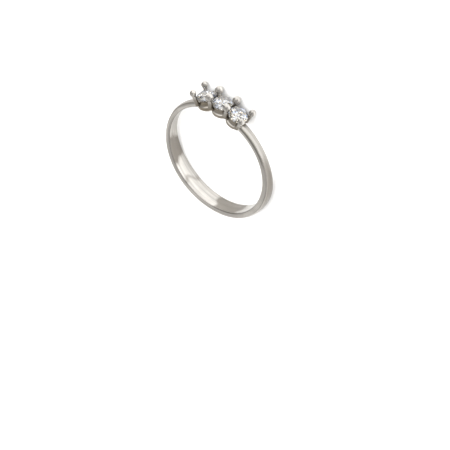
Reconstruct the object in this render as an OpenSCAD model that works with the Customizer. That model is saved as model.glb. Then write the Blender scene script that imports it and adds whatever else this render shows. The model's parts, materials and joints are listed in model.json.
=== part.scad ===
// A ring with three round stones in a row, held by eight prongs with round beads.
// Everything is drawn upright: the finger hole runs along Y and the stones face +Z.
// lay() then turns the ring on its side, the way it rests on a table.

/* [Finger hole] */
// Diameter of the finger hole
finger_d = 16.5; // [14:0.1:22]

/* [Band] */
// Width of the band at its base, opposite the stones
base_w = 2.45; // [1.8:0.05:3.5]
// Width of the band where it meets the setting
shoulder_w = 1.34; // [0.9:0.02:1.6]
// Thickness of the band at its base
base_t = 1.1; // [0.9:0.05:2]
// Thickness of the band where it meets the setting
shoulder_t = 0.85; // [0.7:0.05:1.2]
// Rise of the domed outer face above the side walls, at the base
base_dome = 0.42; // [0.1:0.02:0.6]
// Rise of the domed outer face above the side walls, at the setting
shoulder_dome = 0.3; // [0.1:0.02:0.4]
// Radius of the two edges at the finger hole
edge_r = 0.2; // [0.05:0.01:0.25]
// Angle from the base at which the band starts to narrow
taper_start = 30; // [10:1:60]
// Angle from the base at which the band is at its narrowest
taper_end = 130; // [90:1:150]

/* [Stones] */
// Diameter of each stone
stone_d = 2.8; // [2:0.02:3.4]
// Height of the stones' girdles above the finger hole
head_rise = 1.85; // [1.6:0.05:2.6]
// Width of the table of each stone
table_d = 1.56; // [1:0.02:1.8]
// Height of the girdle's narrow band
girdle_t = 0.08; // [0.04:0.01:0.15]
// Slope of the crown's main facets
crown_angle = 34.5; // [30:0.5:37]
// Slope of the pavilion's main facets
pavilion_angle = 40.75; // [39:0.25:42]
// Space between neighbouring stones
stone_gap = 0.1; // [0.05:0.01:0.3]

/* [Setting] */
// Space between each stone and the metal
seat_gap = 0.03; // [0.02:0.01:0.06]
// Space between neighbouring cups
cup_gap = 0.04; // [0.02:0.01:0.1]
// Depth of the hollow groove round each cup
cove_depth = 0.34; // [0.1:0.02:0.45]
// Height of the hollow groove round each cup
cove_h = 1.04; // [0.6:0.02:1.1]
// Drop of the cup's rim below the stone's girdle
rim_drop = 0.08; // [0.05:0.01:0.15]
// Height of the cup's upright rim above the groove
rim_t = 0.05; // [0.03:0.01:0.1]
// Slanted lower edge of each cup
foot_chamfer = 0.24; // [0.1:0.02:0.4]
// Diameter of the open hole under each stone
light_d = 1.6; // [0.8:0.05:1.9]

/* [Prongs] */
// Diameter of the prongs' wire between two stones
shared_prong_d = 0.72; // [0.5:0.02:0.9]
// Diameter of the prongs' wire at the ends of the row
end_prong_d = 0.62; // [0.5:0.02:0.8]
// Height of the prongs' lower ends above the finger hole
prong_foot = 0.45; // [0.3:0.05:0.6]
// How far the girdle sits into a prong
bite = 0.04; // [0:0.01:0.08]
// Height of the bead centres above the girdles
tip_h = 0.73; // [0.5:0.01:1]
// Diameter of the beads between two stones
shared_bead_d = 1.14; // [0.9:0.02:1.3]
// Diameter of the beads at the ends of the row
end_bead_d = 0.96; // [0.7:0.02:1.2]
// Outward lean of the prongs between two stones, above the girdle
shared_lean = 8; // [0:1:15]
// Outward lean of the prongs at the ends of the row, above the girdle
end_lean = 7; // [0:1:15]
// Angle of the end prongs round their stone, from the line of the row
end_turn = 44; // [35:0.5:55]

/* [Hidden] */

$fn = 64;
METAL = [0.77, 0.75, 0.72];
STONE = [0.93, 0.95, 0.98];

bore_r = finger_d / 2;
stone_r = stone_d / 2;
table_r = table_d / 2;
shared_prong_r = shared_prong_d / 2;
end_prong_r = end_prong_d / 2;
shared_bead_r = shared_bead_d / 2;
end_bead_r = end_bead_d / 2;
girdle_h = bore_r + head_rise;
girdle_low = girdle_h - girdle_t / 2;
girdle_high = girdle_h + girdle_t / 2;
point_h = girdle_low - stone_r * tan(pavilion_angle);
pitch = 2 * atan((stone_r + stone_gap / 2) / girdle_h);

cut = 0.5; // how far cutting shapes reach past what they cut
through = base_w + 2 * stone_d; // longer than any hole

// Band

band_steps = 72;
edge_steps = 2;
dome_steps = 8;
cove_steps = 8;
sink = 0.02; // how far inside the bore the rounding of its edges starts, so that the bore cuts it

// Share of the way from the base's size to the shoulder's at an angle from the base, with soft ends
function narrowing(bend) =
    let (t = min(1, max(0, (bend - taper_start) / (taper_end - taper_start))))
    t * t * (3 - 2 * t);

function between(a, b, share) = a + (b - a) * share;

// Half of the band's D-shaped section and then its mirror image: [depth, distance from the hole's axis]
function section(half_w, t, dome) =
    let (inner = [for (i = [0:edge_steps]) let (a = -90 + 90 * i / edge_steps)
             [half_w - edge_r + edge_r * cos(a), bore_r - sink + edge_r + edge_r * sin(a)]],
         outer = [for (i = [0:dome_steps]) let (a = 180 * i / dome_steps)
             [half_w * cos(a), bore_r + t - dome + dome * sin(a)]],
         last = [for (i = [edge_steps:-1:0]) [-inner[i][0], inner[i][1]]])
    concat([[half_w - edge_r, bore_r - cut]], inner, outer, last, [[edge_r - half_w, bore_r - cut]]);

// The section at an angle from the base, set in its place round the hole
function band_ring(angle) =
    let (share = narrowing(angle > 180 ? 360 - angle : angle),
         shape = section(between(base_w, shoulder_w, share) / 2, between(base_t, shoulder_t, share),
                         between(base_dome, shoulder_dome, share)))
    [for (p = shape) [p[1] * sin(angle), p[0], -p[1] * cos(angle)]];

module band_blank() {
    count = len(section(1, 1, 0.2));
    points = [for (s = [0:band_steps - 1]) each band_ring(360 * s / band_steps)];
    faces = [for (s = [0:band_steps - 1], i = [0:count - 1])
        let (a = s * count, b = ((s + 1) % band_steps) * count, j = (i + 1) % count)
        each [[a + i, a + j, b + j], [a + i, b + j, b + i]]];
    polyhedron(points, faces, convexity = 6);
}

// Setting

// Turns its children from the middle stone's place to stone number index, -1, 0 or 1
module at_stone(index) {
    rotate([0, index * pitch, 0]) children();
}

rim_h = girdle_low - rim_drop;
cove_middle = rim_h - rim_t - cove_h / 2;
cove_r = (cove_h * cove_h / 4 + cove_depth * cove_depth) / (2 * cove_depth);

// Outline of a cup: [distance from the stone's axis, distance from the hole's axis]
function cup_outline() =
    let (half = asin(cove_h / 2 / cove_r),
         cove = [for (i = [0:cove_steps]) let (a = -half + 2 * half * i / cove_steps)
             [stone_r - cove_depth + cove_r - cove_r * cos(a), cove_middle + cove_r * sin(a)]])
    concat([[0, bore_r - cut], [stone_r - foot_chamfer, bore_r - cut], [stone_r - foot_chamfer, bore_r],
            [stone_r, bore_r + foot_chamfer]],
           cove, [[stone_r, rim_h], [0, rim_h]]);

// A round cup under stone number index, with a hollow groove round its waist, cut flat next to
// its neighbours
module cup(index) {
    at_stone(index) difference() {
        rotate_extrude() polygon(cup_outline());
        for (side = [-1, 1]) if (abs(index + side) <= 1)
            rotate([0, side * pitch / 2, 0])
                translate([side * (stone_r - cup_gap / 2), 0, girdle_h / 2])
                cube([stone_d, 2 * stone_d, girdle_h], center = true);
    }
}

// Stands its children at one point, with +Z towards another
module toward(from, to) {
    way = to - from;
    translate(from) rotate([0, acos(way[2] / norm(way)), atan2(way[1], way[0])]) children();
}

knee_swell = 1.05; // the knee's ball over the wire's radius
neck_share = 0.75; // the wire's radius under a bead over the bead's
foot_share = 0.5; // the radius of a prong's lower end over the wire's

// A post with a slanted lower end, which leans out from the knee and swells into a round bead
module prong(foot, knee, tip, wire_r, bead_r) {
    length = norm(knee - foot);
    toward(foot, knee)
        rotate_extrude() polygon([[0, 0], [wire_r * foot_share, 0], [wire_r, wire_r * (1 - foot_share)],
                                  [wire_r, length], [0, length]]);
    translate(knee) sphere(wire_r * knee_swell);
    toward(knee, tip) cylinder(h = norm(tip - knee), r1 = wire_r, r2 = bead_r * neck_share);
    translate(tip) sphere(bead_r);
}

foot_h = bore_r + prong_foot;
tip_top = girdle_h + tip_h;
up = [0, 0, 1];

// A pair of prongs in the valley between two stones, at half the pitch from a stone
valley = tan(pitch / 2);
shared_reach = stone_r + shared_prong_r - bite;
shared_depth = sqrt(pow(shared_reach, 2) - pow(girdle_h * valley, 2));
shared_tip_depth = shared_depth + tip_h * tan(shared_lean);

module shared_prongs(side) {
    for (way = [-1, 1])
        prong([side * foot_h * valley, way * shared_depth, foot_h],
              [side * girdle_h * valley, way * shared_depth, girdle_h],
              [side * tip_top * valley, way * shared_tip_depth, tip_top], shared_prong_r, shared_bead_r);
}

// A pair of prongs at the outer end of the row, seen from its last stone
end_reach = stone_r + end_prong_r - bite;
end_tip_reach = end_reach + tip_h * tan(end_lean);

module end_prongs(side) {
    for (way = [-1, 1]) {
        out = [side * cos(end_turn), way * sin(end_turn), 0];
        prong(stone_r * out + foot_h * up, end_reach * out + girdle_h * up,
              end_tip_reach * out + tip_top * up, end_prong_r, end_bead_r);
    }
}

// Heights of the seat's slopes at distance r from the stone's axis: below the stone and above it
function under(r) = point_h + r * tan(pavilion_angle) - seat_gap / cos(pavilion_angle);
function over(r) = girdle_high + (stone_r - r) * tan(crown_angle) + seat_gap / cos(crown_angle);

// What a stone takes out of the metal, with its gap all round and an open way to the finger hole
module seat() {
    wide = stone_r + seat_gap;
    rotate_extrude() polygon([[0, under(0)], [wide, under(wide)], [wide, over(wide)],
                              [table_r, over(table_r)], [0, over(table_r)]]);
    cylinder(h = girdle_low, d = light_d);
}

module band_and_setting() {
    color(METAL) difference() {
        union() {
            band_blank();
            for (i = [-1:1]) cup(i);
            for (side = [-1, 1]) shared_prongs(side);
            for (side = [-1, 1]) at_stone(side) end_prongs(side);
        }
        rotate([90, 0, 0]) cylinder(h = through, r = bore_r, center = true, $fn = 180);
        for (i = [-1:1]) at_stone(i) seat();
    }
}

// Stones

star_share = 0.5; // how far the star facets reach from the table to the girdle
lower_share = 0.23; // where the lower facets end, as a share of the way from the point to the girdle

// Eight points of one height on a circle, the first at angle start
function eight(r, h, start) = [for (k = [0:7]) [r * cos(start + 45 * k), r * sin(start + 45 * k), h]];

// A round brilliant: an eight-sided table, star, kite and upper facets, a sixteen-sided girdle,
// lower facets, eight mains and a point below
module stone(index) {
    half = 22.5;
    star_r = between(table_r * cos(half), stone_r, star_share);
    lower_r = stone_r * lower_share;
    points = concat(
        eight(table_r, girdle_high + (stone_r - table_r) * tan(crown_angle), 0),
        eight(star_r, girdle_high + (stone_r - star_r * cos(half)) * tan(crown_angle), half),
        eight(stone_r, girdle_high, 0), eight(stone_r, girdle_high, half),
        eight(stone_r, girdle_low, 0), eight(stone_r, girdle_low, half),
        eight(lower_r, point_h + lower_r * cos(half) * tan(pavilion_angle), half),
        [[0, 0, point_h]]);
    table = 0;
    star = 8;
    top = 16;
    top_half = 24;
    low = 32;
    low_half = 40;
    lower = 48;
    tip = 56;
    faces = concat(
        [[for (k = [7:-1:0]) table + k]],
        [for (k = [0:7]) let (n = (k + 1) % 8) each [
            [table + k, table + n, star + k],
            [table + n, star + n, top + n, star + k],
            [star + k, top_half + k, top + k],
            [star + k, top + n, top_half + k],
            [top + k, top_half + k, low_half + k, low + k],
            [top_half + k, top + n, low + n, low_half + k],
            [low + k, low_half + k, lower + k],
            [low_half + k, low + n, lower + k],
            [low + n, lower + n, tip, lower + k]]]);
    at_stone(index) color(STONE) polyhedron(points, faces);
}

// Resting place

// On its side the ring stands on two end beads and on the edge of the band's base.
// Both are on its +Y side, and the tilt is the slope of the plane that touches them.
bead_depth = end_tip_reach * sin(end_turn);
bead_z = tip_top * cos(pitch) - end_tip_reach * cos(end_turn) * sin(pitch);
wall_top = bore_r + base_t - base_dome;
span = bead_z + wall_top;
drop = bead_depth - base_w / 2;
tilt = atan(drop / span) + asin(end_bead_r / norm([span, drop]));
rest_h = wall_top * sin(tilt) + base_w / 2 * cos(tilt);

// The origin is under the middle of the resting ring
head_reach = tip_top * cos(tilt) + shared_tip_depth * sin(tilt) + shared_bead_r;
base_reach = (bore_r + base_t) * cos(tilt);
middle = (head_reach - base_reach) / 2;

module lay() {
    translate([0, middle, rest_h]) rotate([-tilt, 0, 0]) rotate([90, 180, 0]) children();
}

lay() band_and_setting();
lay() stone(-1);  // stone_left
lay() stone(0);  // stone_middle
lay() stone(1);  // stone_right
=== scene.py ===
"""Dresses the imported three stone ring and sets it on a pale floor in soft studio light.

Shapes are worked out upright, as a jeweller draws a ring: the finger hole runs along Y, the
stones face +Z and the origin is the middle of the hole. laid() then turns them on their side, to
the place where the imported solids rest.
"""

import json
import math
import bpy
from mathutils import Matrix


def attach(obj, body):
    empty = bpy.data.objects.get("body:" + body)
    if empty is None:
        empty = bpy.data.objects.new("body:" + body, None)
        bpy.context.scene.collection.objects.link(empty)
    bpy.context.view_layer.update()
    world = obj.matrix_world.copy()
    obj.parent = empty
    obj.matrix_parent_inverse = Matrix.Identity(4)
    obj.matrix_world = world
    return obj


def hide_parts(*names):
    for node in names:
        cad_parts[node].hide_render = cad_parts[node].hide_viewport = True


bl_info = {
    "name": "Three Stone Ring",
    "version": (1, 0, 0),
    "blender": (4, 5, 0),
    "location": "3D View > Sidebar > Ring",
    "description": "Polished band, cups, prongs and clear stones on a pale floor",
    "category": "Object",
}

import bpy
import numpy as np
from bpy.props import FloatProperty, FloatVectorProperty, PointerProperty
from mathutils import Matrix, Vector

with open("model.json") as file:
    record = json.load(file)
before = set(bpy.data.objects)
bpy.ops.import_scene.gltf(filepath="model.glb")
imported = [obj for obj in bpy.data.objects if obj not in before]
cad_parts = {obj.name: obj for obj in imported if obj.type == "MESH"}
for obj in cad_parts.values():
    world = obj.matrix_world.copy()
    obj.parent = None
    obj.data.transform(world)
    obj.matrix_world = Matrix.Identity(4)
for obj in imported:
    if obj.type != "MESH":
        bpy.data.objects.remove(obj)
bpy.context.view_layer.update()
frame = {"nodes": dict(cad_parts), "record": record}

MM = 0.001
METAL_NODE = "band_and_setting"
STONE_NODES = {"left": "stone_left", "middle": "stone_middle", "right": "stone_right"}
PLACES = {"left": -1, "middle": 0, "right": 1}

HOLE = next(m for m in frame["record"]["mounts"] if m["name"] == "finger_hole")
HOLE_AXIS = Vector(HOLE["axis"]).normalized()
HOLE_CENTRE = Vector(HOLE["pos_m"])


class RingSizes(bpy.types.PropertyGroup):
    """Sizes of the ring, the same as in the solids."""

    base_w: FloatProperty(name="Base width", description="Width of the band opposite the stones",
                          default=2.45 * MM, unit="LENGTH", precision=5)
    shoulder_w: FloatProperty(name="Shoulder width", description="Width of the band at the setting",
                              default=1.34 * MM, unit="LENGTH", precision=5)
    base_t: FloatProperty(name="Base thickness", description="Thickness of the band at its base",
                          default=1.1 * MM, unit="LENGTH", precision=5)
    shoulder_t: FloatProperty(name="Shoulder thickness", description="Thickness at the setting",
                              default=0.85 * MM, unit="LENGTH", precision=5)
    base_dome: FloatProperty(name="Base dome", description="Rise of the outer face at the base",
                             default=0.42 * MM, unit="LENGTH", precision=5)
    shoulder_dome: FloatProperty(name="Shoulder dome", description="Rise of the outer face at the setting",
                                 default=0.3 * MM, unit="LENGTH", precision=5)
    edge_r: FloatProperty(name="Inner edge radius", description="Rounding of the edges at the finger",
                          default=0.2 * MM, unit="LENGTH", precision=5)
    taper_start: FloatProperty(name="Taper start", description="Angle from the base where the band narrows",
                               default=math.radians(30), subtype="ANGLE")
    taper_end: FloatProperty(name="Taper end", description="Angle from the base where it is narrowest",
                             default=math.radians(130), subtype="ANGLE")
    stone_d: FloatProperty(name="Stone diameter", description="Diameter of each stone",
                           default=2.8 * MM, unit="LENGTH", precision=5)
    head_rise: FloatProperty(name="Head rise", description="Height of the girdles above the finger hole",
                             default=1.85 * MM, unit="LENGTH", precision=5)
    girdle_t: FloatProperty(name="Girdle", description="Height of the girdle's narrow band",
                            default=0.08 * MM, unit="LENGTH", precision=5)
    pavilion_angle: FloatProperty(name="Pavilion angle", description="Slope of the pavilion's main facets",
                                  default=math.radians(40.75), subtype="ANGLE")
    stone_gap: FloatProperty(name="Stone gap", description="Space between neighbouring stones",
                             default=0.1 * MM, unit="LENGTH", precision=5)
    seat_gap: FloatProperty(name="Seat gap", description="Space between a stone and the metal",
                            default=0.03 * MM, unit="LENGTH", precision=5)
    light_d: FloatProperty(name="Light hole", description="Diameter of the hole under each stone",
                           default=1.6 * MM, unit="LENGTH", precision=5)
    cove_depth: FloatProperty(name="Cove depth", description="Depth of the groove round each cup",
                              default=0.34 * MM, unit="LENGTH", precision=5)
    cove_h: FloatProperty(name="Cove height", description="Height of the groove round each cup",
                          default=1.04 * MM, unit="LENGTH", precision=5)
    rim_drop: FloatProperty(name="Rim drop", description="Drop of the cup's rim below the girdle",
                            default=0.08 * MM, unit="LENGTH", precision=5)
    rim_t: FloatProperty(name="Rim height", description="Height of the cup's upright rim",
                         default=0.05 * MM, unit="LENGTH", precision=5)
    foot_chamfer: FloatProperty(name="Foot chamfer", description="Slanted lower edge of each cup",
                                default=0.24 * MM, unit="LENGTH", precision=5)
    shared_prong_d: FloatProperty(name="Shared prong", description="Wire of the prongs between two stones",
                                  default=0.72 * MM, unit="LENGTH", precision=5)
    end_prong_d: FloatProperty(name="End prong", description="Wire of the prongs at the ends of the row",
                               default=0.62 * MM, unit="LENGTH", precision=5)
    prong_foot: FloatProperty(name="Prong foot", description="Height of the prongs' feet above the hole",
                              default=0.45 * MM, unit="LENGTH", precision=5)
    bite: FloatProperty(name="Bite", description="How far the girdle sits into a prong",
                        default=0.04 * MM, unit="LENGTH", precision=5)
    tip_h: FloatProperty(name="Bead height", description="Height of the bead centres above the girdles",
                         default=0.73 * MM, unit="LENGTH", precision=5)
    shared_bead_d: FloatProperty(name="Shared bead", description="Diameter of the beads between two stones",
                                 default=1.14 * MM, unit="LENGTH", precision=5)
    end_bead_d: FloatProperty(name="End bead", description="Diameter of the beads at the ends of the row",
                              default=0.96 * MM, unit="LENGTH", precision=5)
    shared_lean: FloatProperty(name="Shared lean", description="Outward lean of the shared prongs",
                               default=math.radians(8), subtype="ANGLE")
    end_lean: FloatProperty(name="End lean", description="Outward lean of the end prongs",
                            default=math.radians(7), subtype="ANGLE")
    end_turn: FloatProperty(name="End turn", description="Angle of the end prongs from the line of the row",
                            default=math.radians(44), subtype="ANGLE")


class RingLook(bpy.types.PropertyGroup):
    """Colours and finish of the ring and its studio."""

    metal: FloatVectorProperty(name="Metal", description="Colour of the polished white gold",
                               default=(0.675, 0.65, 0.612), subtype="COLOR", min=0, max=1)
    stone: FloatVectorProperty(name="Stones", description="Colour of the clear stones",
                               default=(0.91, 0.905, 0.895), subtype="COLOR", min=0, max=1)
    floor: FloatVectorProperty(name="Floor", description="Colour of the floor",
                               default=(0.9, 0.9, 0.9), subtype="COLOR", min=0, max=1)
    polish: FloatProperty(name="Polish", description="Roughness of the polished metal",
                          default=0.12, min=0, max=1)
    wall: FloatProperty(name="Studio walls", description="Brightness of the studio's walls",
                        default=0.5, min=0)
    back_wall: FloatProperty(name="Back wall", description="Extra brightness of the wall behind the ring",
                             default=0.33, min=0)
    front_wall: FloatProperty(name="Front wall", description="Extra brightness low before the stones",
                              default=1.0, min=0)
    side_wall: FloatProperty(name="Side wall", description="Extra brightness low beside the ring",
                             default=0.4, min=0)
    opening: FloatProperty(name="Opening", description="How much darker the opening at the camera is",
                           default=0.15, min=0)
    sky_lamp: FloatProperty(name="Sky lamp", description="Power of the wide soft lamp over the floor",
                            default=9.5, min=0, unit="POWER")
    front_lamp: FloatProperty(name="Front lamp", description="Power of the soft lamp before the stones",
                              default=8, min=0, unit="POWER")
    top_lamps: FloatProperty(name="Top lamps", description="Power of each soft lamp over the ring",
                             default=1.1, min=0, unit="POWER")


def sizes():
    """The ring's sizes, as the panel holds them."""
    return bpy.context.scene.ring_sizes


def look():
    """The ring's colours, as the panel holds them."""
    return bpy.context.scene.ring_look


def bore_r():
    """Radius of the finger hole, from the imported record."""
    return HOLE["dims"]["r_mm"] * MM


def girdle_h():
    """Distance of a stone's girdle from the middle of the hole."""
    return bore_r() + sizes().head_rise


def pitch():
    """Angle between neighbouring stones, seen along the finger hole."""
    s = sizes()
    return 2 * math.atan((s.stone_d + s.stone_gap) / 2 / girdle_h())


def laid(points):
    """Upright points set in the resting place: x, y, z become -x, -z, -y, the side face turns
    with the hole's axis, and the origin moves to the hole's centre."""
    side = np.array([-1.0, 0.0, 0.0])
    down = np.array([0.0, HOLE_AXIS.z, -HOLE_AXIS.y])
    along = np.array(HOLE_AXIS)
    flat = points[..., :1] * side - points[..., 1:2] * along - points[..., 2:3] * down
    return flat + np.array(HOLE_CENTRE)


def turned(points, angle):
    """Points turned round the finger hole, from +Z towards +X."""
    c, s = math.cos(angle), math.sin(angle)
    x, y, z = points[..., 0], points[..., 1], points[..., 2]
    return np.stack([x * c + z * s, y, z * c - x * s], axis=-1)


# Points of the curve that rounds a corner, and the largest share it takes of a line beside it
CORNER_POINTS = 5
CORNER_SHARE = 0.45


def rounded(corners, radius):
    """An outline of straight lines with each corner replaced by a parabola that touches both
    lines: (1 - t) squared of its start, 2 t (1 - t) of the corner and t squared of its end. It
    starts and ends where an arc of the radius would: the radius over the tangent of half the
    corner's angle away from the corner."""
    corners = np.asarray(corners, float)
    t = np.linspace(0, 1, CORNER_POINTS)[:, None]
    curves = []
    for before, corner, after in zip(np.roll(corners, 1, 0), corners, np.roll(corners, -1, 0)):
        to_before = before - corner
        to_after = after - corner
        room = CORNER_SHARE * min(np.linalg.norm(to_before), np.linalg.norm(to_after))
        to_before = to_before / np.linalg.norm(to_before)
        to_after = to_after / np.linalg.norm(to_after)
        half = math.acos(max(-1.0, min(1.0, float(to_before @ to_after)))) / 2
        away = min(radius / math.tan(half), room)
        start = corner + to_before * away
        end = corner + to_after * away
        curves.append((1 - t) ** 2 * start + 2 * t * (1 - t) * corner + t**2 * end)
    return np.concatenate(curves)


def lengths(grid, axis):
    """Distance in millimetres run along one axis of a closed grid, at each of its lines and back
    at the first: the running sum of the steps in the first column or in the middle row."""
    line = grid[:, 0] if axis == 0 else grid[grid.shape[0] // 2]
    steps = np.linalg.norm(np.roll(line, -1, 0) - line, axis=-1) / MM
    return np.concatenate([[0.0], np.cumsum(steps)])


def surface(name, grid, along, material, poles=False, caps=False, dull=0.0):
    """A mesh from a grid of points: each row is a closed line, and each point is joined to the
    next in its row and to the same one in the next row. along closes the rows into a ring, poles
    draw the first and the last row together to their middle points, and caps close them with flat
    faces. The last argument says for each row or point, from 0 to 1, how much painted shade and
    painted reflection darken it and how much rougher it is. The UV map holds
    the millimetres run along the piece and round it."""
    rows, cols = grid.shape[:2]
    index = np.arange(rows * cols).reshape(rows, cols)
    i = np.arange(rows if along else rows - 1)
    j = np.arange(cols)
    a = index[i[:, None], j]
    b = index[i[:, None], (j + 1) % cols]
    c = index[(i[:, None] + 1) % rows, (j + 1) % cols]
    d = index[(i[:, None] + 1) % rows, j]
    faces = np.stack([a, d, c, b], axis=-1).reshape(-1, 4).tolist()
    u = lengths(grid, 0)
    v = lengths(grid, 1)
    u0, u1, v0, v1 = u[i][:, None], u[i + 1][:, None], v[j], v[j + 1]
    flat = 0 * (u0 + v0)
    map_u = np.stack([flat + u0, flat + u1, flat + u1, flat + u0], axis=-1)
    map_v = np.stack([flat + v0, flat + v0, flat + v1, flat + v1], axis=-1)
    chart = [np.stack([map_u, map_v], axis=-1).reshape(-1, 2)]
    points = grid.reshape(-1, 3)
    for row in (0, rows - 1):
        ring = index[row]
        if poles:
            middle = np.full_like(ring, len(points))
            points = np.vstack([points, grid[row].mean(0)])
            order = [0, 1, 2] if row == 0 else [0, 2, 1]
            faces += np.stack([middle, ring, np.roll(ring, -1)], axis=-1)[:, order].tolist()
            corners = np.stack([v[:-1], v[:-1], v[1:]], axis=-1)[:, order]
            chart.append(np.stack([u[row] + 0 * corners, corners], axis=-1).reshape(-1, 2))
        elif caps:
            order = slice(None, None, 1 if row == 0 else -1)
            faces.append(ring[order].tolist())
            chart.append(np.stack([u[row] + 0 * v[:-1], v[:-1][order]], axis=-1))
    mesh = bpy.data.meshes.new(name)
    mesh.from_pydata(laid(points).tolist(), [], faces)
    mesh.update()
    mesh.uv_layers.new(name="along_and_round").uv.foreach_set("vector", np.concatenate(chart).ravel())
    painted_shading_and_dullness_values = np.zeros(len(points))
    painted_shading_and_dullness_values[: rows * cols] = np.broadcast_to(dull, (rows, cols)).ravel()
    # The attribute carries the painted shade and painted reflections, and the roughness they add
    mesh.attributes.new("dull", "FLOAT", "POINT").data.foreach_set("value", painted_shading_and_dullness_values)
    mesh.shade_smooth()
    mesh.materials.append(material)
    piece = bpy.data.objects.new(name, mesh)
    bpy.context.scene.collection.objects.link(piece)
    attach(piece, "root")
    return piece


def stands_for_metal(piece):
    """Hides the plain metal solid, which the pieces stand in for. The piece is not used."""
    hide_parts(METAL_NODE)


# Painted dark reflections of the band, also rougher, on the face at the finger, on the outer face and
# in two lines along the outer face: first and last angle from the base in degrees, softness, strength
INSIDE_PAINTED_REFLECTIONS = (
    (-150, -84, 5, 0.4),
    (-83, -57, 3, 1.0),
    (-35.5, -31.5, 2, 0.75),
    (1, 34, 2, 0.85),
    (34, 52, 8, 0.55),
)
OUTSIDE_PAINTED_REFLECTIONS = (
    (-170, -106, 6, 0.85),
    (76, 122, 9, 1.1),
    (-12, 76, 14, 1.2),
    (121, 170, 8, 0.4),
    (-106, -20, 10, 0.45),
)
SHOULDER_PAINTED_REFLECTIONS = (
    (-160, -118, 4, 0.9),
    (118, 160, 4, 0.9),
)
# Waves in the parts' borders: height in degrees, radians per millimetre across the band, radians
# per degree along it, start in radians
BORDER_WAVES = (
    (3.0, 1.9, 0.11, 0.0),
    (1.2, 4.3, -0.23, 1.0),
)
# Place and width of the two lines of painted reflection, in radians of the outer face's half turn
LINE_TURN = 0.5
LINE_WIDTH = 0.22
# Points on the band's face at the finger, on each rounded edge and on the outer face
FACE_COLUMNS = 7
EDGE_COLUMNS = 9
ARCH_COLUMNS = 49
# Rows of the band and of each bridge, and how far both run into the cups
BAND_ROWS = 720
BRIDGE_ROWS = 12
INTO_CUP = math.radians(6.6)


def narrowing(bend):
    """Share of the way from the base's size to the shoulder's: a smooth step, 3 t squared less
    2 t cubed, of the angle from the base."""
    s = sizes()
    t = np.clip((bend - s.taper_start) / (s.taper_end - s.taper_start), 0, 1)
    return t * t * (3 - 2 * t)


def painted_reflections(bend, depth, parts):
    """Sum of the painted reflections' strengths along the band. Each part rises and falls as the
    logistic function of the angle over half its softness, in degrees. The sines of BORDER_WAVES, of
    the angle and of the distance from the band's middle, bend the parts' borders."""
    angle = np.degrees(bend)[:, None]
    across = depth / MM
    bent = angle
    for height, per_mm, per_degree, start in BORDER_WAVES:
        bent = bent + height * np.sin(per_mm * across + per_degree * angle + start)
    total = 0 * bent
    for first, last, soft, strength in parts:
        rise = 1 / (1 + np.exp((first - bent) / soft * 2))
        fall = 1 / (1 + np.exp((bent - last) / soft * 2))
        total += strength * rise * fall
    return total


def band_painted_reflections_and_dullness(bend, depth):
    """The painted dark reflections along the band and round its section, which also make it rougher.
    The parts at the finger fade over the rounded edges, those of the outer face follow the sine of
    its half turn, and the two lines are bell curves, e to the power of minus the squared distance
    over the width."""
    turn = np.linspace(0, np.pi, ARCH_COLUMNS)
    fading = np.linspace(1, 0, EDGE_COLUMNS)
    line = np.exp(-(((np.minimum(turn, np.pi - turn) - LINE_TURN) / LINE_WIDTH) ** 2))
    before = np.zeros(FACE_COLUMNS + EDGE_COLUMNS)
    after = np.zeros(EDGE_COLUMNS)
    inside = np.concatenate([np.ones(FACE_COLUMNS), fading, 0 * turn, fading[::-1]])
    outside = np.concatenate([before, np.sin(turn), after])
    lines = np.concatenate([before, line, after])
    return (painted_reflections(bend, depth, INSIDE_PAINTED_REFLECTIONS) * inside + painted_reflections(bend, depth, OUTSIDE_PAINTED_REFLECTIONS) * outside
            + painted_reflections(bend, 0 * depth, SHOULDER_PAINTED_REFLECTIONS) * lines)


def band_grid(start, stop, rows):
    """The band's D-shaped section carried round the hole, from one angle to another, both
    measured from the base: reach times the sine and minus the cosine of the angle. The face at the
    finger is straight, its edges are quarter circles and the outer face is half an ellipse. With
    the grid come the painted dark reflections, which also make the band rougher."""
    s = sizes()
    bend = np.linspace(start, stop, rows)
    share = narrowing(np.minimum(np.abs(bend), 2 * np.pi - np.abs(bend)))[:, None]
    half = (s.base_w + (s.shoulder_w - s.base_w) * share) / 2
    thick = s.base_t + (s.shoulder_t - s.base_t) * share
    dome = s.base_dome + (s.shoulder_dome - s.base_dome) * share
    corner = np.linspace(-np.pi / 2, 0, EDGE_COLUMNS)
    arch = np.linspace(0, np.pi, ARCH_COLUMNS)
    flat = np.linspace(-1, 1, FACE_COLUMNS + 2)[1:-1]
    edge_depth = half - s.edge_r + s.edge_r * np.cos(corner)
    edge_reach = bore_r() + s.edge_r + s.edge_r * np.sin(corner) + 0 * half
    face_depth = flat * (half - s.edge_r)
    face_reach = bore_r() + 0 * face_depth
    arch_reach = bore_r() + thick - dome + dome * np.sin(arch)
    depth = np.hstack([face_depth, edge_depth, half * np.cos(arch), -edge_depth[:, ::-1]])
    reach = np.hstack([face_reach, edge_reach, arch_reach, edge_reach[:, ::-1]])
    grid = np.stack([reach * np.sin(bend)[:, None], depth, -reach * np.cos(bend)[:, None]], axis=-1)
    return grid, band_painted_reflections_and_dullness(bend, depth)


# Radii of the cups' edges, points across the groove and steps of the turn
FOOT_EDGE_R = 0.03 * MM
RIM_EDGE_R = 0.015 * MM
COVE_POINTS = 25
CUP_STEPS = 128
# Painted darker reflection on the wall below the groove, beside the groove, and painted shade in
# the groove; both parts are also rougher
WALL_PAINTED_REFLECTION = 0.9
COVE_PAINTED_SHADE = 0.85


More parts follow.
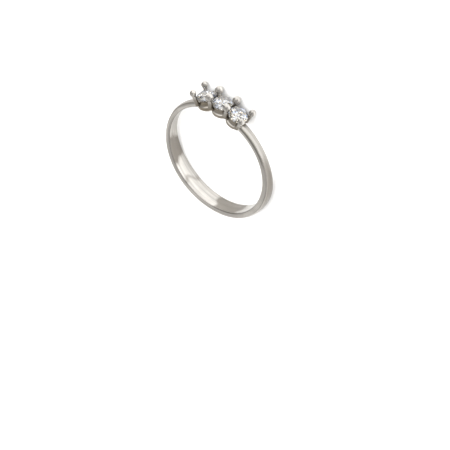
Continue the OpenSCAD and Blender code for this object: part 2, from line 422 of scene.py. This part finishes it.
def cup_outline():
    """Closed outline of a cup, as pairs of distance from the stone's axis and height over the
    hole's middle: foot, slanted edge, wall, hollow groove, rim, seat slope and light hole. The
    groove is an arc of a circle through its two edges and its deepest point. With the outline
    comes how much each point is painted darker: painted shade in the groove by how deep the point
    lies there, from 0 at its edges to 1, and a painted darker reflection on the wall below it."""
    s = sizes()
    stone_r = s.stone_d / 2
    foot_r = stone_r - s.foot_chamfer
    light_r = s.light_d / 2
    girdle_low = girdle_h() - s.girdle_t / 2
    rim_h = girdle_low - s.rim_drop
    slope = math.tan(s.pavilion_angle)
    seat_low = girdle_low - stone_r * slope - s.seat_gap / math.cos(s.pavilion_angle)
    cove_top = rim_h - s.rim_t
    cove_low = cove_top - s.cove_h
    cove_r = (s.cove_h**2 / 4 + s.cove_depth**2) / (2 * s.cove_depth)
    half = math.asin(s.cove_h / 2 / cove_r)
    a = np.linspace(-half, half, COVE_POINTS)[1:-1]
    cove_reach = stone_r - s.cove_depth + cove_r * (1 - np.cos(a))
    cove = np.stack([cove_reach, (cove_top + cove_low) / 2 + cove_r * np.sin(a)], axis=-1)
    low = bore_r() - s.foot_chamfer
    # The foot leans by a third of its edge, so that no two points meet where the hole cuts it
    lower = rounded([
        [light_r, low],
        [foot_r - FOOT_EDGE_R / 3, low],
        [foot_r, bore_r()],
        [stone_r, bore_r() + s.foot_chamfer],
        [stone_r, cove_low],
        cove[0],
    ], FOOT_EDGE_R)[CORNER_POINTS:-CORNER_POINTS]
    upper = rounded([
        cove[-1],
        [stone_r, cove_top],
        [stone_r, rim_h],
        [(rim_h - seat_low) / slope, rim_h],
        [light_r, seat_low + light_r * slope],
        [light_r, low],
    ], RIM_EDGE_R)[CORNER_POINTS:-CORNER_POINTS]
    hole = [[light_r, bore_r() + FOOT_EDGE_R], [light_r, low], [light_r + FOOT_EDGE_R, low]]
    # A painted darker reflection on the wall below the groove, and painted shade in the groove by its depth
    painted_wall_reflection = WALL_PAINTED_REFLECTION * (lower[:, 1] > bore_r())
    in_cove = (stone_r - cove_reach) / s.cove_depth
    depth = np.concatenate([painted_wall_reflection, in_cove, np.zeros(len(upper) + len(hole))])
    return np.vstack([lower, cove, upper, hole]), depth


def cup_grid(index):
    """A cup turned round its stone's axis: one row for each step of the turn. Its lower face
    follows the finger hole: no point lies nearer the hole's axis than the hole's radius."""
    outline, depth = cup_outline()
    turn = np.linspace(0, 2 * np.pi, CUP_STEPS, endpoint=False)[:, None]
    x = np.cos(turn) * outline[:, 0]
    y = np.sin(turn) * outline[:, 0]
    z = np.maximum(outline[:, 1] + 0 * x, np.sqrt(bore_r() ** 2 - x**2))
    return turned(np.stack([x, y, z], axis=-1), index * pitch()), depth


# Points round a prong, on its tapered foot, on its wire and on each half of its bead
PRONG_COLUMNS = 40
FOOT_ROWS = 4
WIRE_ROWS = 22
BEAD_ROWS = 15
# Length of the tapered foot in wire radii, its first row's place and its end's share of the radius
TAPER = 0.5
TAPER_FIRST = 0.05
TAPER_END = 0.5
# Length of the bead's lower half in bead radii, and where its upper half ends
EGG = 1.12
BEAD_END = 0.9995
# Shares of the way from the knee to the bead's middle: the wire's end lies so far beyond the
# middle, and the knee bends over so much
WIRE_END = 0.8
KNEE = 0.3
# Power by which wire and bead run into each other
NECK = 6
# Painted shade on the prong's foot, low beside the cups, and on the wire at this share of the way
# to the knee, fading to none at the knee; the shaded rows are also rougher
FOOT_PAINTED_SHADE = 1.0
WIRE_PAINTED_SHADE = 0.5
WIRE_PAINTED_SHADE_AT = 0.8


def prong_grid(foot, knee, tip, wire_r, bead_r):
    """A round wire from the foot to the knee that leans out to the tip and swells into an egg
    shaped bead, half an ellipse below and half a circle above its middle. The wire thins as the
    square root of the way left to its end, over the way from the knee to the bead's middle. The
    radius is the sixth root of the sum of both radii, each to the sixth power, so the neck is a
    soft hollow. At the knee the two straight spines are mixed by a smooth step, 3 t squared less
    2 t cubed. With the grid comes the painted shade of each row, which also makes it rougher."""
    foot, knee, tip = (np.array(p, float) for p in (foot, knee, tip))
    lower = np.linalg.norm(knee - foot)
    upper = np.linalg.norm(tip - knee)
    centre = lower + upper
    egg_r = bead_r * EGG
    taper = wire_r * TAPER
    sweep = np.linspace(0, np.pi / 2, BEAD_ROWS)
    s = np.concatenate([
        [0.0],
        taper * np.linspace(TAPER_FIRST, 1, FOOT_ROWS),
        np.linspace(taper, centre - egg_r, WIRE_ROWS)[1:-1],
        centre - egg_r * np.cos(sweep),
        centre + bead_r * np.sin(sweep)[1:-1],
        [centre + bead_r * BEAD_END],
    ])
    reach = np.where(s < centre, (s - centre) / egg_r, (s - centre) / bead_r)
    bead = bead_r * np.sqrt(np.clip(1 - reach**2, 0, 1))
    thinning = np.sqrt(np.clip((centre - s) / upper + WIRE_END, 0, 1))
    wire = wire_r * np.clip(TAPER_END + (1 - TAPER_END) * s / taper, 0, 1) * thinning
    radius = (wire**NECK + bead**NECK) ** (1 / NECK)
    t = np.clip((s - lower) / (KNEE * upper) + 0.5, 0, 1)[:, None]
    soft = t * t * (3 - 2 * t)
    straight = foot + (knee - foot) * (s / lower)[:, None]
    leaning = knee + (tip - knee) * ((s - lower) / upper)[:, None]
    spine = straight * (1 - soft) + leaning * soft
    way = (tip - foot) / np.linalg.norm(tip - foot)
    side = np.cross(way, [0.0, 1.0, 0.0])
    side /= np.linalg.norm(side)
    front = np.cross(side, way)
    turn = np.linspace(0, 2 * np.pi, PRONG_COLUMNS, endpoint=False)
    spoke = np.cos(turn)[:, None] * side + np.sin(turn)[:, None] * front
    # Painted shade at the foot, fading along the wire to none at the knee
    dull = np.interp(s, [0, WIRE_PAINTED_SHADE_AT * lower, lower], [FOOT_PAINTED_SHADE, WIRE_PAINTED_SHADE, 0])
    return spine[:, None] + radius[:, None, None] * spoke, dull[:, None]


def shared_prong(side, way):
    """The prong between two stones, in the plane halfway between their axes. It stands on both
    girdles and leans out along the finger hole."""
    s = sizes()
    wire_r = s.shared_prong_d / 2
    reach = s.stone_d / 2 + wire_r - s.bite
    valley = side * math.tan(pitch() / 2)
    foot_h = bore_r() + s.prong_foot
    top_h = girdle_h() + s.tip_h
    depth = way * math.sqrt(reach**2 - (girdle_h() * valley) ** 2)
    tip_depth = depth + way * s.tip_h * math.tan(s.shared_lean)
    foot = (foot_h * valley, depth, foot_h)
    knee = (girdle_h() * valley, depth, girdle_h())
    tip = (top_h * valley, tip_depth, top_h)
    return prong_grid(foot, knee, tip, wire_r, s.shared_bead_d / 2)


def end_prong(side, way):
    """A prong at the end of the row, drawn over the middle stone, leaning out from its axis, and
    then turned round the finger hole to the outer stone."""
    s = sizes()
    wire_r = s.end_prong_d / 2
    reach = s.stone_d / 2 + wire_r - s.bite
    tip_reach = reach + s.tip_h * math.tan(s.end_lean)
    out = np.array([side * math.cos(s.end_turn), way * math.sin(s.end_turn), 0.0])
    up = np.array([0.0, 0.0, 1.0])
    foot = s.stone_d / 2 * out + (bore_r() + s.prong_foot) * up
    knee = reach * out + girdle_h() * up
    tip = tip_reach * out + (girdle_h() + s.tip_h) * up
    grid, dull = prong_grid(foot, knee, tip, wire_r, s.end_bead_d / 2)
    return turned(grid, side * pitch()), dull


def node_tree(material):
    """The material's node tree and the Principled shader at its output."""
    material.use_nodes = True
    tree = material.node_tree
    shader = next(n for n in tree.nodes if n.type == "BSDF_PRINCIPLED")
    return tree, shader


def add(tree, kind, **inputs):
    """A node of one kind with its named inputs set."""
    node = tree.nodes.new(kind)
    for key, value in inputs.items():
        node.inputs[key].default_value = value
    return node


def noise(tree, vector, scale, detail, roughness):
    """Soft random values over a vector."""
    node = add(tree, "ShaderNodeTexNoise", Scale=scale, Detail=detail, Roughness=roughness)
    tree.links.new(vector, node.inputs["Vector"])
    return node.outputs["Fac"]


def mixed(tree, factor, low, high):
    """A colour between two colours by a factor."""
    mix = tree.nodes.new("ShaderNodeMix")
    mix.data_type = "RGBA"
    tree.links.new(factor, mix.inputs["Factor"])
    for socket, value in (("A", low), ("B", high)):
        if isinstance(value, bpy.types.NodeSocket):
            tree.links.new(value, mix.inputs[socket])
        else:
            mix.inputs[socket].default_value = (*value, 1)
    return mix.outputs["Result"]


def ranged(tree, value, source, target, smooth=False):
    """A value carried from one range to another, evenly or by a smooth step."""
    node = tree.nodes.new("ShaderNodeMapRange")
    if smooth:
        node.interpolation_type = "SMOOTHSTEP"
    tree.links.new(value, node.inputs["Value"])
    for socket, number in zip(("From Min", "From Max", "To Min", "To Max"), (*source, *target)):
        node.inputs[socket].default_value = number
    return node.outputs["Result"]


def scaled_sum(tree, value, factor, other):
    """A value times a factor, plus another value."""
    node = tree.nodes.new("ShaderNodeMath")
    node.operation = "MULTIPLY_ADD"
    node.inputs[1].default_value = factor
    tree.links.new(value, node.inputs[0])
    tree.links.new(other, node.inputs[2])
    return node.outputs["Value"]


def reach_along(tree, vector, way):
    """How far a vector reaches along a direction: their dot product."""
    node = tree.nodes.new("ShaderNodeVectorMath")
    node.operation = "DOT_PRODUCT"
    node.inputs[1].default_value = way
    tree.links.new(vector, node.inputs[0])
    return node.outputs["Value"]


def bump(tree, height, strength, distance):
    """A small unevenness of the surface by a height."""
    node = add(tree, "ShaderNodeBump", Strength=strength, Distance=distance)
    tree.links.new(height, node.inputs["Height"])
    return node


def share_of(colour, shares):
    """A colour times a share, or times one share for each of its channels, at most 1."""
    return [min(1.0, float(c)) for c in np.array(colour) * shares]


# The metal's clouds, broad patches and polishing streaks: scale, detail and roughness of the noise
CLOUD_NOISE = (420.0, 3.0, 0.55)
PATCH_NOISE = (170.0, 1.0, 0.4)
STREAK_NOISE = (1.0, 3.0, 0.6)
# Streaks per millimetre along the piece and round it
STREAK_STRETCH = (0.09, 2.0, 1.0)
# Ranges of the noise, and the ranges of weight that they are carried to
CLOUD_RANGES = ((0.35, 0.65), (0, 1))
PATCH_RANGES = ((0.38, 0.6), (0.5, 0))
STREAK_RANGES = ((0.42, 0.62), (0, 0.9))
# Range of the painted shading with the patches in its borders, and the weights of the painted dark colour
PAINTED_SHADING_RANGES = ((0.55, 1.4), (0, 0.95))
# Shares of the metal's colour in dark and light clouds, in the patches and in the streaks
CLOUD_DARK = 0.9
CLOUD_LIGHT = 1.07
PATCH_SHARE = 0.72
STREAK_SHARE = 0.6
# Range of the streaks' noise, and the shares of the roughness at its ends
GLOSS_NOISE = (0.3, 0.7)
GLOSS_SHARES = (0.7, 1.4)
# Shares of the metal's red, green and blue in the painted dark parts: painted reflections on the
# band, painted shade and a painted darker reflection on the cups, painted shade on the prongs
BAND_PAINTED_REFLECTION = (0.3, 0.285, 0.265)
CUP_PAINTED_SHADE_AND_REFLECTION = (0.42, 0.37, 0.295)
PRONG_PAINTED_SHADE = (0.4, 0.37, 0.32)
# Weight of the patches in the borders of the painted dark parts, and roughness that these parts add
PATCHY_BORDER = 0.9
DULL_ROUGHNESS = 0.2
# Strength and height in metres of the clouds' and of the streaks' unevenness
CLOUD_BUMP = (0.25, 0.08 * MM)
STREAK_BUMP = (0.3, 0.012 * MM)
# Roughness of the prongs beside the band's
PRONG_POLISH = 0.7


def polished_metal(name, roughness, painted_dark_share):
    """Polished white gold: a warm grey metal with cloudy differences in tone and gloss, long
    polishing streaks that run along the piece, a faint unevenness of the surface, and painted shade
    and painted reflections where the pieces' attribute says: darker parts whose colour is the
    metal's times the last argument, and which are also rougher."""
    material = bpy.data.materials.new(name)
    tree, shader = node_tree(material)
    link = tree.links.new
    place = add(tree, "ShaderNodeTexCoord")
    stretch = add(tree, "ShaderNodeMapping", Scale=STREAK_STRETCH)
    link(place.outputs["UV"], stretch.inputs["Vector"])
    cloud = noise(tree, place.outputs["Object"], *CLOUD_NOISE)
    patch = noise(tree, place.outputs["Object"], *PATCH_NOISE)
    streak = noise(tree, stretch.outputs["Vector"], *STREAK_NOISE)
    # The attribute holds each piece's painted shade and painted reflections, which also add roughness
    depth = tree.nodes.new("ShaderNodeAttribute")
    depth.attribute_name = "dull"
    base = look().metal
    clouds = ranged(tree, cloud, *CLOUD_RANGES)
    patches = ranged(tree, patch, *PATCH_RANGES)
    streaks = ranged(tree, streak, *STREAK_RANGES)
    patchy_painted_shading = scaled_sum(tree, patch, PATCHY_BORDER, depth.outputs["Fac"])
    tone = mixed(tree, clouds, share_of(base, CLOUD_DARK), share_of(base, CLOUD_LIGHT))
    tone = mixed(tree, patches, tone, share_of(base, PATCH_SHARE))
    tone = mixed(tree, streaks, tone, share_of(base, STREAK_SHARE))
    # Painted shade and painted reflections darken the tone
    tone = mixed(tree, ranged(tree, patchy_painted_shading, *PAINTED_SHADING_RANGES), tone, share_of(base, painted_dark_share))
    link(tone, shader.inputs["Base Color"])
    gloss = ranged(tree, streak, GLOSS_NOISE, [roughness * share for share in GLOSS_SHARES])
    link(scaled_sum(tree, depth.outputs["Fac"], DULL_ROUGHNESS, gloss), shader.inputs["Roughness"])
    swell = bump(tree, cloud, *CLOUD_BUMP)
    lines = bump(tree, streak, *STREAK_BUMP)
    link(swell.outputs["Normal"], lines.inputs["Normal"])
    link(lines.outputs["Normal"], shader.inputs["Normal"])
    shader.inputs["Metallic"].default_value = 1.0
    return material


# Noise over the facets' directions: scale, detail and roughness
FACET_NOISE = (3.1, 0.0, 0.5)
# Ranges of that noise where the facets turn from cool to plain and from plain to warm, and the
# weights that they are carried to
COOL_RANGES = ((0.38, 0.45), (0, 1))
WARM_RANGES = ((0.58, 0.64), (0, 1))
# Shares of the stones' red, green and blue in the cool and in the warm facets, painted blue and
# straw light like the colours a cut stone splits light into
COOL_FACET = (0.92, 0.95, 1.0)
WARM_FACET = (1.0, 0.96, 0.86)
# Cells per metre, and the cells that aren't clear, painted reflections and painted coloured glints:
# random channel, its value from which a cell takes the colour, colour
CELLS_PER_METRE = 3600.0
PAINTED_REFLECTION_CELLS = (
    # Blue and straw cells are painted coloured glints, and the dark cell painted dark reflections
    ("Green", 0.78, (0.7, 0.79, 1.0)),
    ("Blue", 0.83, (1.0, 0.89, 0.7)),
    ("Red", 0.84, (0.03, 0.025, 0.02)),
)
CELL_SOFTNESS = 0.03
# How far under the girdle the facets start to mirror, and do so in full
MIRROR_START = 0.01 * MM
MIRROR_FULL = 0.02 * MM
STONE_IOR = 2.4
CLEARNESS = 0.92


def clear_stone(name, outward):
    """A clear cut stone with a high index of refraction, whose facets below the girdle mirror the
    light back along the outward direction. Its facets carry painted tints of blue and straw light,
    and small cells are painted reflections and glints for the many mirrored facets that a cut stone
    shows: most are clear, a few painted dark, a few blue and a few straw."""
    material = bpy.data.materials.new(name)
    tree, shader = node_tree(material)
    link = tree.links.new
    place = add(tree, "ShaderNodeTexCoord")
    facet = noise(tree, place.outputs["Normal"], *FACET_NOISE)
    base = look().stone
    tone = mixed(tree, ranged(tree, facet, *COOL_RANGES), share_of(base, COOL_FACET), base)
    tone = mixed(tree, ranged(tree, facet, *WARM_RANGES), tone, share_of(base, WARM_FACET))
    cells = add(tree, "ShaderNodeTexVoronoi", Scale=CELLS_PER_METRE)
    link(place.outputs["Object"], cells.inputs["Vector"])
    chance = tree.nodes.new("ShaderNodeSeparateColor")
    link(cells.outputs["Color"], chance.inputs["Color"])
    for channel, limit, colour in PAINTED_REFLECTION_CELLS:
        tinted = ranged(tree, chance.outputs[channel], (limit, limit + CELL_SOFTNESS), (0, 1))
        tone = mixed(tree, tinted, tone, colour)
    link(tone, shader.inputs["Base Color"])
    height = reach_along(tree, place.outputs["Object"], outward)
    girdle_low = float(outward @ np.array(HOLE_CENTRE)) + girdle_h() - sizes().girdle_t / 2
    mirrored = ranged(tree, height, (girdle_low - MIRROR_START, girdle_low - MIRROR_FULL), (0, 1))
    link(mirrored, shader.inputs["Metallic"])
    shader.inputs["Roughness"].default_value = 0.0
    shader.inputs["IOR"].default_value = STONE_IOR
    shader.inputs["Transmission Weight"].default_value = CLEARNESS
    return material


class RING_OT_band(bpy.types.Operator):
    """Make the polished band and the two short pieces between the cups"""

    bl_idname = "ring.band"
    bl_label = "Band"

    def execute(self, context):
        metal = polished_metal("white_gold_band", look().polish, BAND_PAINTED_REFLECTION)
        end = math.pi - pitch() - INTO_CUP
        parts = [("band", -end, end, BAND_ROWS)]
        for side, name in ((-1, "bridge_left"), (1, "bridge_right")):
            edges = (math.pi - side * INTO_CUP, math.pi - side * (pitch() - INTO_CUP))
            parts.append((name, min(edges), max(edges), BRIDGE_ROWS))
        for name, start, stop, rows in parts:
            # Each grid comes with the band's painted dark reflections and the roughness they add
            grid, painted_shading_and_dullness_values = band_grid(start, stop, rows)
            stands_for_metal(surface(name, grid, False, metal, caps=True, dull=painted_shading_and_dullness_values))
        return {"FINISHED"}


class RING_OT_cups(bpy.types.Operator):
    """Make the three waisted cups under the stones"""

    bl_idname = "ring.cups"
    bl_label = "Cups"

    def execute(self, context):
        metal = polished_metal("white_gold_cups", look().polish, CUP_PAINTED_SHADE_AND_REFLECTION)
        for name, index in PLACES.items():
            grid, depth = cup_grid(index)
            # Painted shade in the groove and a painted darker reflection on the wall below it
            stands_for_metal(surface(f"cup_{name}", grid, True, metal, dull=COVE_PAINTED_SHADE * depth))
        return {"FINISHED"}


class RING_OT_prongs(bpy.types.Operator):
    """Make the eight prongs with their round beads"""

    bl_idname = "ring.prongs"
    bl_label = "Prongs"

    def execute(self, context):
        metal = polished_metal("white_gold_prongs", look().polish * PRONG_POLISH, PRONG_PAINTED_SHADE)
        for side, side_name in ((-1, "left"), (1, "right")):
            for way, way_name in ((-1, "near"), (1, "far")):
                for kind, shape in (("shared", shared_prong), ("end", end_prong)):
                    # Each grid comes with the painted shade at the prong's foot
                    grid, dull = shape(side, way)
                    name = f"{kind}_prong_{side_name}_{way_name}"
                    stands_for_metal(surface(name, grid, False, metal, poles=True, dull=dull))
        return {"FINISHED"}


class RING_OT_stones(bpy.types.Operator):
    """Give the three cut stones their clear finish"""

    bl_idname = "ring.stones"
    bl_label = "Stones"

    def execute(self, context):
        for side, node in STONE_NODES.items():
            angle = PLACES[side] * pitch()
            upright = np.array([[math.sin(angle), 0.0, math.cos(angle)]])
            outward = laid(upright)[0] - np.array(HOLE_CENTRE)
            stone = frame["nodes"][node]
            stone.data.materials.clear()
            stone.data.materials.append(clear_stone(f"clear_{node}", outward))
        return {"FINISHED"}


# The photograph's view, found from the outline of the band: turn round the ring's upright axis,
# lift and roll in radians, distance, pixels of the photograph's side and of a millimetre at the
# finger hole, and the hole's middle in pixels from the photograph's left and top
CAMERA_TURN = 0.6549
CAMERA_LIFT = 0.7470
CAMERA_ROLL = 0.0661
CAMERA_AWAY = 400 * MM
PHOTO_SIDE = 450
PIXELS_PER_MM = 7.2541
HOLE_ON_PHOTO = (219.03, 157.41)
# Width of the camera's sensor in its own millimetres, and the nearest and farthest things it shows
SENSOR = 36.0
CLIP_START = 0.01
CLIP_END = 20.0


def camera_axes():
    """Right, up and back of the camera in the laid frame: the view turns round the ring's
    upright axis, lifts, and rolls round its own axis."""
    ct, st = math.cos(CAMERA_TURN), math.sin(CAMERA_TURN)
    cl, sl = math.cos(CAMERA_LIFT), math.sin(CAMERA_LIFT)
    cr, sr = math.cos(CAMERA_ROLL), math.sin(CAMERA_ROLL)
    right = np.array([ct, st, 0.0])
    back = np.array([st * cl, -ct * cl, sl])
    up = np.cross(back, right)
    rolled = np.array([cr * right + sr * up, -sr * right + cr * up, back])
    return laid(rolled) - np.array(HOLE_CENTRE)


# Parts of the studio's walls: direction from the ring, the panel's brightness, its sign, and the
# cosine of the angle from the direction where the part starts
WALL_PARTS = (
    ((0.25, 0.87, 0.42), "back_wall", 1, 0.35),
    ((0.0, -0.99, 0.14), "front_wall", 1, 0.55),
    ((-0.97, 0.0, 0.2), "side_wall", 1, 0.55),
    ((-0.447, -0.679, 0.582), "opening", -1, 0.86),
)
WALL_COLOUR = (1.0, 0.985, 0.965, 1)
# Soft lamps: name, place, diameter, the panel's power, and whether the stones let it through
LAMPS = (
    ("sky_lamp", (0.1, 0.05, 0.8), 1.6, "sky_lamp", True),
    ("front_lamp", (-0.15, -0.85, 0.4), 0.9, "front_lamp", False),
    ("left_top_lamp", (0.32, -0.3, 0.6), 0.5, "top_lamps", True),
    ("right_top_lamp", (-0.3, -0.55, 0.42), 0.5, "top_lamps", True),
)
# Half the floor's side, and its roughness
FLOOR_HALF = 3.0
FLOOR_ROUGHNESS = 0.9


def studio_walls():
    """The studio's walls round the ring: a grey, with soft bright parts whose strength falls off
    with the angle from a direction, and a darker opening where the camera looks in."""
    world = bpy.data.worlds.new("studio")
    world.use_nodes = True
    tree = world.node_tree
    place = tree.nodes.new("ShaderNodeTexCoord")
    total = None
    for way, key, sign, start in WALL_PARTS:
        plain = look().wall if total is None else 0.0
        extra = sign * getattr(look(), key)
        cosine = reach_along(tree, place.outputs["Generated"], Vector(way).normalized())
        part = ranged(tree, cosine, (start, 1.0), (plain, plain + extra), smooth=True)
        total = part if total is None else scaled_sum(tree, part, 1.0, total)
    back = tree.nodes["Background"]
    back.inputs["Color"].default_value = WALL_COLOUR
    tree.links.new(total, back.inputs["Strength"])
    return world


def soft_lamp(name, place, diameter, power, through_stones):
    """A round soft lamp that shines at the ring and isn't mirrored in the metal."""
    data = bpy.data.lights.new(name, "AREA")
    data.shape = "DISK"
    data.size = diameter
    data.energy = power
    lamp = bpy.data.objects.new(name, data)
    lamp.visible_glossy = False
    lamp.visible_transmission = through_stones
    lamp.location = place
    lamp.rotation_mode = "QUATERNION"
    lamp.rotation_quaternion = (Vector(place) - HOLE_CENTRE).to_track_quat("Z", "Y")
    bpy.context.scene.collection.objects.link(lamp)


class RING_OT_stage(bpy.types.Operator):
    """Make the pale floor, the soft light and the camera"""

    bl_idname = "ring.stage"
    bl_label = "Studio"

    def execute(self, context):
        scene = context.scene
        scene.view_settings.view_transform = "Standard"
        self.lay_floor(scene)
        scene.world = studio_walls()
        for name, place, diameter, key, through_stones in LAMPS:
            soft_lamp(name, place, diameter, getattr(look(), key), through_stones)
        self.set_camera(scene)
        return {"FINISHED"}

    def lay_floor(self, scene):
        """A square floor under the ring, matt and pale."""
        h = FLOOR_HALF
        mesh = bpy.data.meshes.new("floor")
        mesh.from_pydata([(-h, -h, 0), (h, -h, 0), (h, h, 0), (-h, h, 0)], [], [(0, 1, 2, 3)])
        floor = bpy.data.objects.new("floor", mesh)
        scene.collection.objects.link(floor)
        pale = bpy.data.materials.new("pale_floor")
        shader = node_tree(pale)[1]
        shader.inputs["Base Color"].default_value = (*look().floor, 1)
        shader.inputs["Roughness"].default_value = FLOOR_ROUGHNESS
        shader.inputs["Specular IOR Level"].default_value = 0.0
        mesh.materials.append(pale)

    def set_camera(self, scene):
        """The camera at the photograph's place, aimed so that the finger hole's middle falls on
        its place on the photograph."""
        right, up, backward = (Vector(v) for v in camera_axes())
        data = bpy.data.cameras.new("camera")
        camera = bpy.data.objects.new("camera", data)
        scene.collection.objects.link(camera)
        place = HOLE_CENTRE + backward * CAMERA_AWAY
        seen = PHOTO_SIDE / PIXELS_PER_MM * MM
        data.sensor_width = SENSOR
        data.lens = data.sensor_width * CAMERA_AWAY / seen
        data.clip_start = CLIP_START
        data.clip_end = CLIP_END
        middle = PHOTO_SIDE / 2
        aim = (HOLE_CENTRE + right * (middle - HOLE_ON_PHOTO[0]) / PIXELS_PER_MM * MM
               - up * (middle - HOLE_ON_PHOTO[1]) / PIXELS_PER_MM * MM)
        z = (place - aim).normalized()
        x = up.cross(z).normalized()
        y = z.cross(x)
        camera.matrix_world = Matrix.Translation(place) @ Matrix((x, y, z)).transposed().to_4x4()
        scene.camera = camera


class RING_PT_panel(bpy.types.Panel):
    """Sizes, colours and steps of the ring"""

    bl_idname = "RING_PT_panel"
    bl_label = "Three Stone Ring"
    bl_space_type = "VIEW_3D"
    bl_region_type = "UI"
    bl_category = "Ring"

    def draw(self, context):
        layout = self.layout
        for step in STEPS:
            layout.operator(step.bl_idname)
        for group in (context.scene.ring_sizes, context.scene.ring_look):
            column = layout.column()
            for key in group.__annotations__:
                column.prop(group, key)


STEPS = (RING_OT_stage, RING_OT_band, RING_OT_cups, RING_OT_prongs, RING_OT_stones)
CLASSES = (RingSizes, RingLook, *STEPS, RING_PT_panel)


def register():
    for item in CLASSES:
        bpy.utils.register_class(item)
    bpy.types.Scene.ring_sizes = PointerProperty(type=RingSizes)
    bpy.types.Scene.ring_look = PointerProperty(type=RingLook)


def unregister():
    del bpy.types.Scene.ring_look
    del bpy.types.Scene.ring_sizes
    for item in reversed(CLASSES):
        bpy.utils.unregister_class(item)


def main():
    register()
    bpy.ops.ring.stage()
    bpy.ops.ring.band()
    bpy.ops.ring.cups()
    bpy.ops.ring.prongs()
    bpy.ops.ring.stones()


if __name__ == "__main__":
    main()
